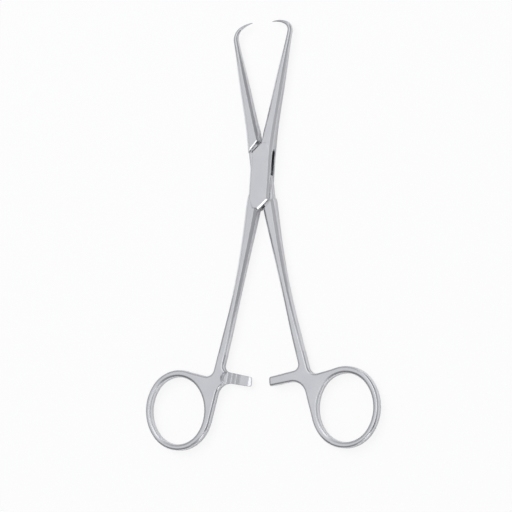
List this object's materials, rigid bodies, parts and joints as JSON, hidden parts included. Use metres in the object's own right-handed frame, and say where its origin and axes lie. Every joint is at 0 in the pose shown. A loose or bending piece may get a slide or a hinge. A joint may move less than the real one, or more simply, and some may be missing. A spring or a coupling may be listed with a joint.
{
  "type": "towel forceps",
  "caption": "Steel towel forceps with a box lock, long curved shanks, finger rings, ratchet arms and two in-curved sharp points; the halves open about the riveted lock pin.",
  "frame": {"origin": "on the lock pin's axis, in the plane of the lock's back face, on which the forceps lie", "axes": "+Z out of the front face along the lock pin, +Y towards the points, +X to the side of the box half's jaw; shown half open, each half 4 degrees from closed"},
  "size_m": [0.0932, 0.1579, 0.0054],
  "materials": {
    "steel": "satin polished stainless steel",
    "pin_steel": "ground flush and satin polished"
  },
  "bodies": {
    "box_body": {"box_half": "steel", "pivot_pin": "pin_steel"},
    "tongue_body": {"tongue_half": "steel"}
  },
  "joints": [
    {"name": "lock", "type": "hinge", "parent": "box_body", "child": "tongue_body", "pos_m": [0, 0, 0.0027], "axis": [0, 0, 1], "range_deg": [-8, 62]}
  ]
}
